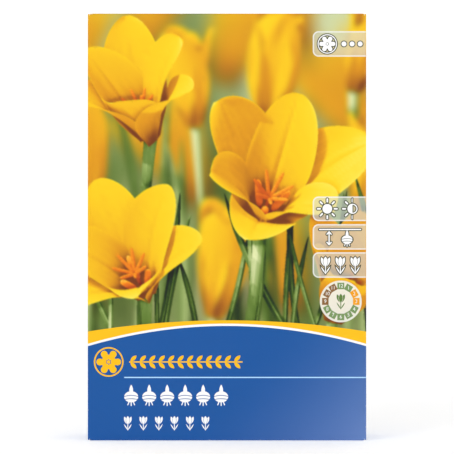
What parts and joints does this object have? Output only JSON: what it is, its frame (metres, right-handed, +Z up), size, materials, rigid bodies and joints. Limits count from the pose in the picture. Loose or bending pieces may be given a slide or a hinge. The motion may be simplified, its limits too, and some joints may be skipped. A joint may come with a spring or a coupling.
{
  "type": "flower bulb carton",
  "caption": "Slim upright folding carton for flower bulbs: glued board box with a printed picture front, air holes in its sides and back, and loose crocus corms heaped inside.",
  "frame": {"origin": "centre of the carton's footprint, on the surface it stands on", "axes": "+Z up along the carton's height; the printed front faces -Y; +X to the right seen from the front"},
  "size_m": [0.124, 0.028, 0.19],
  "materials": {
    "printed_board": "satin",
    "corm_tunic": "matte"
  },
  "bodies": {
    "root": {"carton": "printed_board", "corm_01": "corm_tunic", "corm_02": "corm_tunic", "corm_03": "corm_tunic", "corm_04": "corm_tunic", "corm_05": "corm_tunic", "corm_06": "corm_tunic", "corm_07": "corm_tunic", "corm_08": "corm_tunic", "corm_09": "corm_tunic", "corm_10": "corm_tunic", "corm_11": "corm_tunic", "corm_12": "corm_tunic"}
  },
  "joints": []
}
